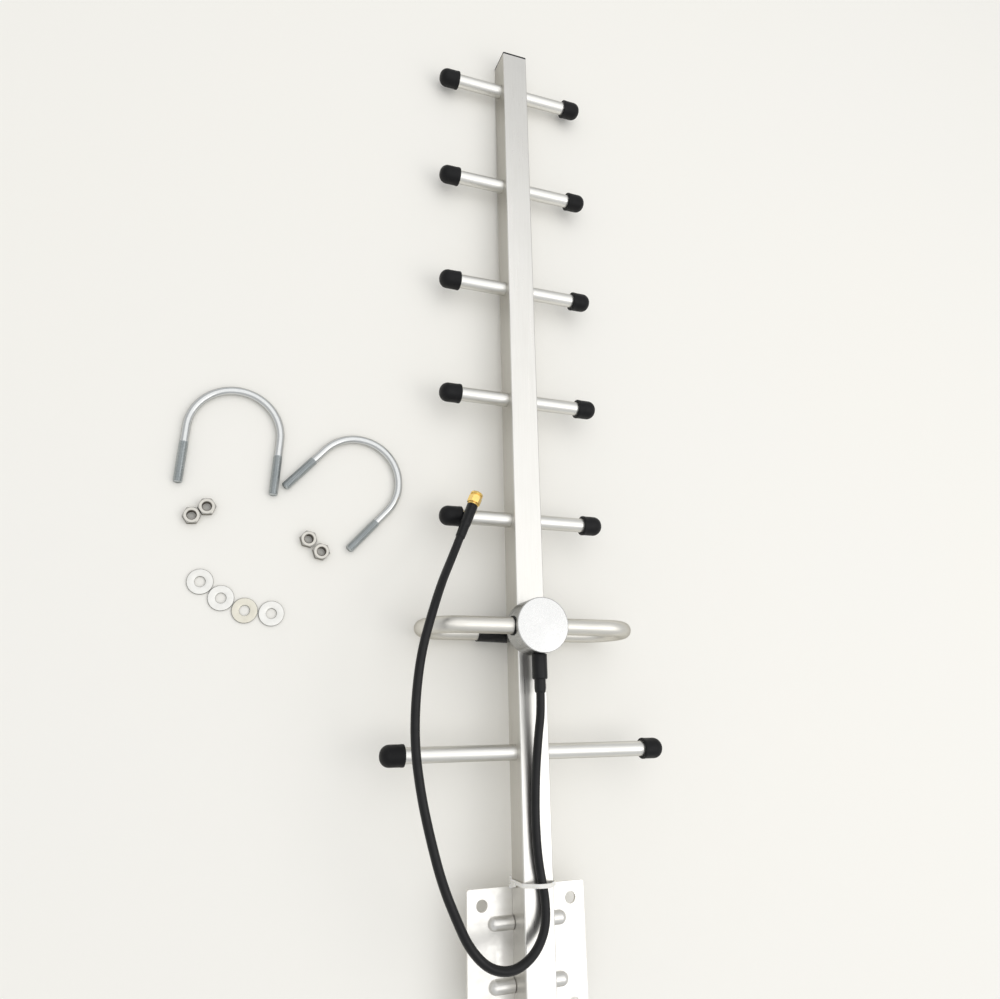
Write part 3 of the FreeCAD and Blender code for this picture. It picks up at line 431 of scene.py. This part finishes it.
def add_piece(name, mesh, material, body, replaces):
    """Put a mesh in the scene, on its body and in place of its CAD nodes."""
    piece = bpy.data.objects.new(name, mesh)
    bpy.context.scene.collection.objects.link(piece)
    piece.data.materials.clear()
    piece.data.materials.append(material)
    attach(piece, body)
    if replaces:
        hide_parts(*replaces)
    return piece


def place_at(point, direction):
    """A matrix that takes local Z to a direction and the local origin to a point."""
    turn = Vector((0, 0, 1)).rotation_difference(Vector(direction)).to_matrix().to_4x4()
    return Matrix.Translation(Vector(point)) @ turn


def circle_angles(count):
    """Evenly spaced angles round a full circle, in radians."""
    return [2 * math.pi * step / count for step in range(count)]


def revolve(profile, count=56, wobble=None):
    """Rings about local Z from (height, radius) pairs; wobble may change a radius by height and angle."""
    rings = []
    for height, radius in profile:
        ring = []
        for angle in circle_angles(count):
            extra = wobble(height, angle) if wobble else 0.0
            ring.append(((radius + extra) * math.cos(angle), (radius + extra) * math.sin(angle), height))
        rings.append(ring)
    return rings


def quarter(centre_height, centre_radius, size_mm, start_deg, end_deg, steps):
    """Points of a rounded edge; 0 degrees points outwards and 90 degrees up."""
    arc = []
    for step in range(steps + 1):
        angle = math.radians(start_deg + (end_deg - start_deg) * step / steps)
        arc.append((centre_height + size_mm * math.sin(angle), centre_radius + size_mm * math.cos(angle)))
    return arc


def quarter_over(start_height, centre_radius, size_mm, steps=12):
    """A dome that turns over from upright to flat, without its first point."""
    return quarter(start_height, centre_radius, size_mm, 0, 90, steps)[1:]


def paint_faces(piece, material, place, chosen):
    """Give a second material to the faces whose centre, in the piece's own millimetres, is chosen."""
    piece.data.materials.append(material)
    local = place.inverted()
    for face in piece.data.polygons:
        if chosen(local @ face.center * 1000):
            face.material_index = 1


def on_table(x_mm, y_mm, lift_mm, turn_deg=0.0):
    """A matrix that sets a piece on the sloping table."""
    height = TABLE_PIVOT.z + (y_mm * 0.001 - TABLE_PIVOT.y) * TABLE_SLOPE + lift_mm * 0.001
    tilt = Matrix.Rotation(math.atan(TABLE_SLOPE), 4, "X")
    turn = Matrix.Rotation(math.radians(turn_deg), 4, "Z")
    return Matrix.Translation((x_mm * 0.001, y_mm * 0.001, height)) @ tilt @ turn


# ---------------------------------------------------------------- feed lead


def route_piece():
    """The lead: one smooth spline through the route's control points."""
    curve = bpy.data.curves.new("feed_lead", "CURVE")
    curve.dimensions = "3D"
    spline = curve.splines.new("NURBS")
    spline.points.add(len(CABLE_ROUTE) - 1)
    for point, place in zip(spline.points, CABLE_ROUTE):
        point.co = (*place, 1.0)
        point.radius = CABLE_DIAMETER / 2
    spline.order_u = 3
    spline.use_endpoint_u = True
    curve.resolution_u = 16
    curve.bevel_depth = 1.0
    curve.bevel_resolution = 8
    curve.use_fill_caps = True
    lead = bpy.data.objects.new("feed_lead", curve)
    bpy.context.scene.collection.objects.link(lead)
    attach(lead, MAIN_BODY)
    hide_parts("coax_cable")
    return lead


def plug_place(offset_mm):
    """Where the plug's own axis runs: straight on from the lead's last run."""
    end, before = Vector(CABLE_ROUTE[-1]), Vector(CABLE_ROUTE[-2])
    direction = (end - before).normalized()
    return place_at(end + direction * offset_mm * 0.001, direction)


def make_shrink_sleeve(material):
    """Heat-shrunk tube: snug on the lead, stepped where it goes over the ferrule, faintly wrinkled."""
    outline = [(0.0, 2.86), (0.1, 3.05), (0.5, 3.2), (2.0, 3.27), (5.0, 3.3), (8.6, 3.32), (9.8, 3.42)]
    outline += [(10.8, 3.6), (12.5, 3.66), (16.0, 3.68), (20.0, 3.72), (24.2, 3.76), (25.4, 3.74)]
    outline += [(25.85, 3.6), (26.0, 3.35)]
    ring_spacing, wrinkle_depth = 0.5, 0.035
    profile = []
    for (start, radius), (end, next_radius) in zip(outline, outline[1:]):
        steps = max(1, int((end - start) / ring_spacing))
        for step in range(steps):
            height = start + (end - start) * step / steps
            profile.append((height, radius + (next_radius - radius) * step / steps))
    profile.append(outline[-1])

    def wrinkle(height, angle):
        return wrinkle_depth * math.sin(2.1 * height + 2.0 * angle) * math.sin(3 * angle + 0.7 * height)

    rings = revolve(profile, 48, wrinkle)
    return build("shrink_sleeve", rings, False, plug_place(0.0), material,
                 replaces=["plug_shrink_sleeve"], crease_deg=50)


def hexagon_radius(angle, across_flats):
    """Distance from the centre to a hexagon's side; one flat faces along local X."""
    sixth = math.pi / 3
    offset = (angle + sixth / 2) % sixth - sixth / 2
    return across_flats / 2 / math.cos(offset)


def thread_wave(height, angle, pitch):
    """0 at a thread's root and 1 at its crest."""
    phase = (height / pitch - angle / (2 * math.pi)) % 1.0
    return 1.0 - abs(2.0 * phase - 1.0)


def thread_rings(levels, root, depth, pitch, count):
    """Rings along a screw thread about local Z."""
    def ridge(height, angle):
        return depth * thread_wave(height, angle, pitch)

    return revolve([(level, root) for level in levels], count, ridge)


def make_coupling_nut(material):
    """Gold coupling nut: chamfered hexagon, groove and plain collar outside, thread inside."""
    flats, count, nut_start = 8.0, 96, 27.2
    chamfers = ((0.0, 1.15), (0.35, 0.25), (0.5, 0.0), (5.6, 0.0), (5.75, 0.25), (6.1, 1.0))
    collar = [(6.2, 3.75), (6.6, 3.75), (6.7, 4.15), (6.9, 4.38), (8.2, 4.38), (8.45, 4.25), (8.6, 4.0)]
    mouth = [(8.6, 3.55), (8.35, 3.25)]
    rings = []
    for height, inset in chamfers:
        ring = []
        for angle in circle_angles(count):
            limit = flats / 2 / math.cos(math.pi / 6) - inset
            radius = min(hexagon_radius(angle, flats), limit)
            ring.append((radius * math.cos(angle), radius * math.sin(angle), height))
        rings.append(ring)
    rings += revolve(collar + mouth, count)
    thread_top, thread_bottom, last = 8.2, 1.7, 55
    levels = [thread_top - step * (thread_top - thread_bottom) / last for step in range(last + 1)]
    rings += thread_rings(levels, root=3.16, depth=0.28, pitch=0.7, count=count)
    rings += revolve([(1.6, 3.1), (1.6, 2.72), (0.0, 2.72)], count)
    return build("coupling_nut", rings, True, plug_place(nut_start), material, body="coupling_nut",
                 replaces=["plug_coupling_nut"], crease_deg=28)


def make_exit_mouldings(material):
    """The thick exit sleeve and the slimmer boot behind it, each with softened ends."""
    hidden_in_housing = 0.003
    low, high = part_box("cable_exit_sleeve")
    start = Vector((0, high.y - hidden_in_housing, (low.z + high.z) / 2))
    sleeve = [(0.0, 4.6), (0.15, 4.85), (0.5, 5.0), (14.6, 5.0), (15.4, 4.9), (15.85, 4.6), (16.0, 4.2)]
    build("exit_sleeve", revolve(sleeve), False, place_at(start, (0, -1, 0)), material,
          replaces=["cable_exit_sleeve"])
    boot = [(0.0, 3.75), (5.6, 3.75), (7.4, 3.55), (8.2, 3.25), (8.5, 2.9)]
    low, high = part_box("cable_exit_boot")
    start = Vector((0, high.y, (low.z + high.z) / 2))
    build("exit_boot", revolve(boot), False, place_at(start, (0, -1, 0)), material,
          replaces=["cable_exit_boot"])


# ---------------------------------------------------------------- rubber caps


def make_caps(material):
    """A domed rubber cap on each end of every rod, with a low bead round its mouth."""
    bore, bore_depth, lip, bead = 5.06, 12.7, 0.5, 7.0
    dome_start, dome_round, straight = 9.2, 5.9, 6.85
    profile = [(bore_depth, bore), (lip, bore), (0.12, 5.3)]
    profile += quarter(lip, bead - lip, lip, -90, 0, 4)
    profile += [(1.7, bead), (2.1, 6.93), (2.4, 6.87), (5.0, straight), (dome_start, straight)]
    profile += quarter_over(dome_start, straight - dome_round, dome_round)
    profile += [(15.08, 0.6), (14.95, 0.45), (14.93, 0.15)]
    for name in sorted(NODES):
        if "_cap_" not in name:
            continue
        low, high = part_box(name)
        right = name.endswith("right")
        mouth = Vector((low.x if right else high.x, (low.y + high.y) / 2, (low.z + high.z) / 2))
        place = place_at(mouth, (1 if right else -1, 0, 0))
        build(name + "_rubber", revolve(profile), False, place, material,
              replaces=[name], crease_deg=40)


# ---------------------------------------------------------------- cable tie


def rounded_loop(corners, rounds):
    """Cut a closed outline's corners again and again until it is smooth."""
    near, far = 0.78, 0.22
    for _ in range(rounds):
        cut = []
        for start, end in zip(corners, corners[1:] + corners[:1]):
            cut.append((near * start[0] + far * end[0], near * start[1] + far * end[1]))
            cut.append((far * start[0] + near * end[0], far * start[1] + near * end[1]))
        corners = cut
    return corners


def strap_section(width, thickness, corner=0.3):
    """Rounded rectangle as (across, outward) pairs."""
    half_w, half_t = width / 2 - corner, thickness / 2 - corner
    corners = ((half_w, half_t, 0), (-half_w, half_t, 90), (-half_w, -half_t, 180), (half_w, -half_t, 270))
    section = []
    for centre_w, centre_t, start in corners:
        for step in range(4):
            angle = math.radians(start + 30 * step)
            section.append((centre_w + corner * math.cos(angle), centre_t + corner * math.sin(angle)))
    return section


def soft_box(name, corners_low, corners_high, place, material, rounding):
    """A moulded block with rounded edges, given in millimetres."""
    work = bmesh.new()
    bmesh.ops.create_cube(work, size=1.0)
    low, high = Vector(corners_low), Vector(corners_high)
    for vertex in work.verts:
        vertex.co = Vector([low[i] + (vertex.co[i] + 0.5) * (high[i] - low[i]) for i in range(3)]) * 0.001
    edges = work.edges[:]
    bmesh.ops.bevel(work, geom=edges, offset=rounding * 0.001, segments=3, profile=0.5, affect="EDGES")
    mesh = bpy.data.meshes.new(name)
    work.to_mesh(mesh)
    work.free()
    mesh.transform(place)
    finish_mesh(mesh, crease_deg=50)
    return add_piece(name, mesh, material, MAIN_BODY, ())


def make_tie(material):
    """Nylon tie: strap round boom and lead, lock behind the boom and a cut tail up its left side."""
    station, strap_width, strap_thick, tail_lean_deg = 43.3, 2.6, 1.0, -14
    outline = [(-10.9, 1.1), (10.9, 1.1), (10.9, 22.2), (4.9, 28.9), (-2.1, 28.9), (-10.9, 22.2)]
    spacing = 2.5
    dense = []
    for start, end in zip(outline, outline[1:] + outline[:1]):
        steps = max(2, int(math.dist(start, end) / spacing))
        for step in range(steps):
            dense.append(tuple(a + (b - a) * step / steps for a, b in zip(start, end)))
    path = rounded_loop(dense, 2)
    section = strap_section(strap_width, strap_thick)
    rings = []
    for index, (x, z) in enumerate(path):
        before, after = path[index - 1], path[(index + 1) % len(path)]
        along = Vector((after[0] - before[0], after[1] - before[1])).normalized()
        outward = Vector((along.y, -along.x))
        rings.append([(x + outward.x * t, station + w, z + outward.y * t) for w, t in section])
    identity = Matrix.Identity(4)
    build("tie_strap", rings, True, identity, material, replaces=["cable_tie"], crease_deg=45)
    soft_box("tie_lock", (-9.8, 41.0, -2.6), (-3.8, 45.6, 0.7), identity, material, 0.5)
    pivot = Vector((-0.0103, 0.0415, 0.0127))
    turn = Matrix.Rotation(math.radians(tail_lean_deg), 4, "X")
    lean = Matrix.Translation(pivot) @ turn @ Matrix.Translation(-pivot)
    soft_box("tie_tail", (-12.3, 41.3, 2.4), (-11.2, 43.9, 12.4), lean, material, 0.3)


# ---------------------------------------------------------------- clamp hardware


def u_bolt_stations():
    """Centre, in-plane normal and height up the leg at each station along the bent rod."""
    half_span, leg, fine, coarse, fine_end = 29.5, 38.0, 0.125, 2.0, 28.0
    stations = []
    heights = [step * fine for step in range(int(fine_end / fine) + 1)] + [30.0, 33.0, 36.0]
    for height in heights:
        stations.append(((-half_span, height), (-1.0, 0.0), height))
    steps = int(math.pi * half_span / coarse)
    for step in range(steps + 1):
        angle = math.pi - math.pi * step / steps
        normal = (math.cos(angle), math.sin(angle))
        centre = (half_span * normal[0], leg + half_span * normal[1])
        stations.append((centre, normal, leg))
    for height in reversed(heights):
        stations.append(((half_span, height), (1.0, 0.0), height))
    return stations


def rod_radius(height, angle):
    """Plain rod above the thread; the thread's crests taper off at its run-out and at the end's chamfer."""
    plain, crest, depth, pitch, thread_end, run_out = 2.7, 3.0, 0.55, 1.0, 27.5, 1.2
    tip, chamfer_slope, chamfer_height = 2.1, 1.2, 0.8
    if height > thread_end:
        return plain
    ridge = crest - depth + depth * thread_wave(height, angle, pitch)
    chamfer = tip + chamfer_slope * min(height, chamfer_height)
    fade = min(1.0, max(0.0, (thread_end - height) / run_out))
    return min(chamfer, plain + (ridge - plain) * fade)


def make_u_bolts(rod_material, thread_material):
    """Two bent rods lying flat, their threaded ends duller than the rest."""
    rod_lift, dull_up_to = 3.0, 27.2
    for name, (x, y, turn) in UBOLT_PLACES.items():
        place = on_table(x, y, rod_lift, turn)
        rings = []
        for (cx, cy), (nx, ny), height in u_bolt_stations():
            ring = []
            for angle in circle_angles(28):
                radius = rod_radius(height, angle)
                out, up = radius * math.cos(angle), radius * math.sin(angle)
                ring.append((cx + nx * out, cy + ny * out, up))
            rings.append(ring)
        piece = build(name + "_rod", rings, False, place, rod_material,
                      body=name + "_body", replaces=[name], crease_deg=60)
        paint_faces(piece, thread_material, place, lambda centre: centre.y < dull_up_to)


def nut_rings():
    """Rings of one M6 nut: chamfered hexagon outside, countersunk thread inside."""
    flats, height, count, flat_top, mouth, steps = 10.0, 5.0, 96, 4.72, 3.2, 44
    slope = math.tan(math.radians(30))
    sink_depth, sink_radius, thread_margin = 0.35, 2.85, 0.4

    def outer(angle, top):
        radius = hexagon_radius(angle, flats)
        drop = max(0.0, radius - flat_top) * slope
        return (radius * math.cos(angle), radius * math.sin(angle), height - drop if top else drop)

    rings = revolve([(height, mouth), (height, flat_top)], count)
    rings.append([outer(angle, True) for angle in circle_angles(count)])
    rings.append([outer(angle, False) for angle in circle_angles(count)])
    rings += revolve([(0.0, flat_top), (0.0, mouth), (sink_depth, sink_radius)], count)
    levels = [thread_margin + (height - 2 * thread_margin) * step / steps for step in range(steps + 1)]
    rings += thread_rings(levels, root=2.62, depth=0.42, pitch=1.0, count=count)
    rings += revolve([(height - sink_depth, sink_radius)], count)
    return rings


def make_nuts(material, bore_shade_material):
    """Four nuts, with painted shade darkening their threads inside the bore."""
    bore = 3.12
    for number, (x, y, turn) in enumerate(NUT_PLACES, start=1):
        place = on_table(x, y, 0.0, turn)
        nut = build("hex_nut_%d" % number, nut_rings(), True, place, material,
                    body="hex_nuts_body", replaces=["hex_nuts"], crease_deg=25)
        # Painted shade: the faces inside the bore get the darker finish.
        paint_faces(nut, bore_shade_material, place, lambda centre: math.hypot(centre.x, centre.y) < bore)


def make_washers(plain, yellow, edge_shade_material):
    """Stamped washers: rounded over on top and sharper at the edges, with painted shade darkening their
    outer rims and hole walls; the third is yellowish.
    """
    outer, hole, thick = 8.0, 3.25, 1.4
    edge_start, edge_end = hole + 0.1, outer - 0.18
    profile = [(0.0, outer - 0.15)]
    profile += quarter(0.15, outer - 0.15, 0.15, -60, 0, 2)
    profile += quarter(thick - 0.45, outer - 0.45, 0.45, 0, 90, 5)
    profile += [(thick, hole + 0.4), (thick - 0.12, hole + 0.12), (thick - 0.4, hole)]
    profile += [(0.12, hole), (0.0, hole + 0.12)]

    def at_shaded_edge(centre):
        return not edge_start < math.hypot(centre.x, centre.y) < edge_end

    for number, (x, y) in enumerate(WASHER_PLACES, start=1):
        material = yellow if number == 3 else plain
        place = on_table(x, y, 0.0)
        washer = build("flat_washer_%d" % number, revolve(profile, 72), True, place, material,
                       body="flat_washers_body", replaces=["flat_washers"])
        # Painted shade: the outer rim and hole wall faces get the darker edge finish.
        paint_faces(washer, edge_shade_material, place, at_shaded_edge)


# ---------------------------------------------------------------- carried-over nodes


# A slot whose finish has another name than the slot.
SLOT_MATERIALS = {"washer_steel": "washer_zinc"}


def paint_nodes(materials):
    """Give every CAD node the procedural finish of its slot."""
    for entry in frame["record"]["subparts"]:
        node = NODES[entry["node"]]
        slot = entry["material_slot"]
        material = materials[SLOT_MATERIALS.get(slot, slot)]
        for index in range(len(node.data.materials)):
            node.data.materials[index] = material


# ---------------------------------------------------------------- stage


def add_stage(material):
    """A pale table top, sloped as the antenna lies on it."""
    mesh = bpy.data.meshes.new("table_top")
    reach = 20.0
    corners = [(-reach, -reach, 0), (reach, -reach, 0), (reach, reach, 0), (-reach, reach, 0)]
    mesh.from_pydata(corners, [], [(0, 1, 2, 3)])
    mesh.transform(Matrix.Translation(TABLE_PIVOT) @ Matrix.Rotation(math.atan(TABLE_SLOPE), 4, "X"))
    table = bpy.data.objects.new("table_top", mesh)
    bpy.context.scene.collection.objects.link(table)
    table.data.materials.append(material)


def add_light(name, place, aim, width, height, watts, color):
    """A rectangular lamp pointed at a place."""
    light = bpy.data.lights.new(name, "AREA")
    light.shape = "RECTANGLE"
    light.size, light.size_y = width, height
    light.energy = watts
    light.color = color
    lamp = bpy.data.objects.new(name, light)
    bpy.context.scene.collection.objects.link(lamp)
    lamp.location = place
    lamp.rotation_euler = (Vector(aim) - Vector(place)).to_track_quat("-Z", "Y").to_euler()


def add_lights():
    """Soft daylight from the lower right and above, with a dim pale surround."""
    centre = (-0.05, 0.3, 0.0)
    warm, neutral = (1.0, 0.985, 0.955), (1.0, 0.995, 0.985)
    add_light("window", (1.0, -0.2, 1.35), centre, width=1.0, height=1.0, watts=3.6, color=warm)
    add_light("overhead", (0.1, 0.45, 2.0), centre, width=2.8, height=3.2, watts=18, color=neutral)
    world = bpy.data.worlds.new("surround")
    world.use_nodes = True
    background = world.node_tree.nodes["Background"]
    background.inputs["Color"].default_value = (0.93, 0.94, 0.95, 1.0)
    background.inputs["Strength"].default_value = 0.70
    bpy.context.scene.world = world
    bpy.context.scene.view_settings.view_transform = "Standard"


def main():
    add_camera()
    lead = route_piece()
    materials = make_materials()
    lead.data.materials.append(materials["cable_jacket"])
    paint_nodes(materials)
    sleeve = make_shrink_sleeve(materials["shrink_tube"])
    coupling = make_coupling_nut(materials["gold"])
    make_exit_mouldings(materials["cable_jacket"])
    make_caps(materials["cap_rubber"])
    make_tie(materials["white_nylon"])
    make_u_bolts(materials["zinc_rod"], materials["thread_zinc"])
    make_nuts(materials["nut_steel"], materials["nut_bore_shade"])
    make_washers(materials["washer_zinc"], materials["washer_yellow"], materials["washer_edge_shade"])
    add_stage(make_table_top())
    add_lights()
    bpy.context.view_layer.update()


main()
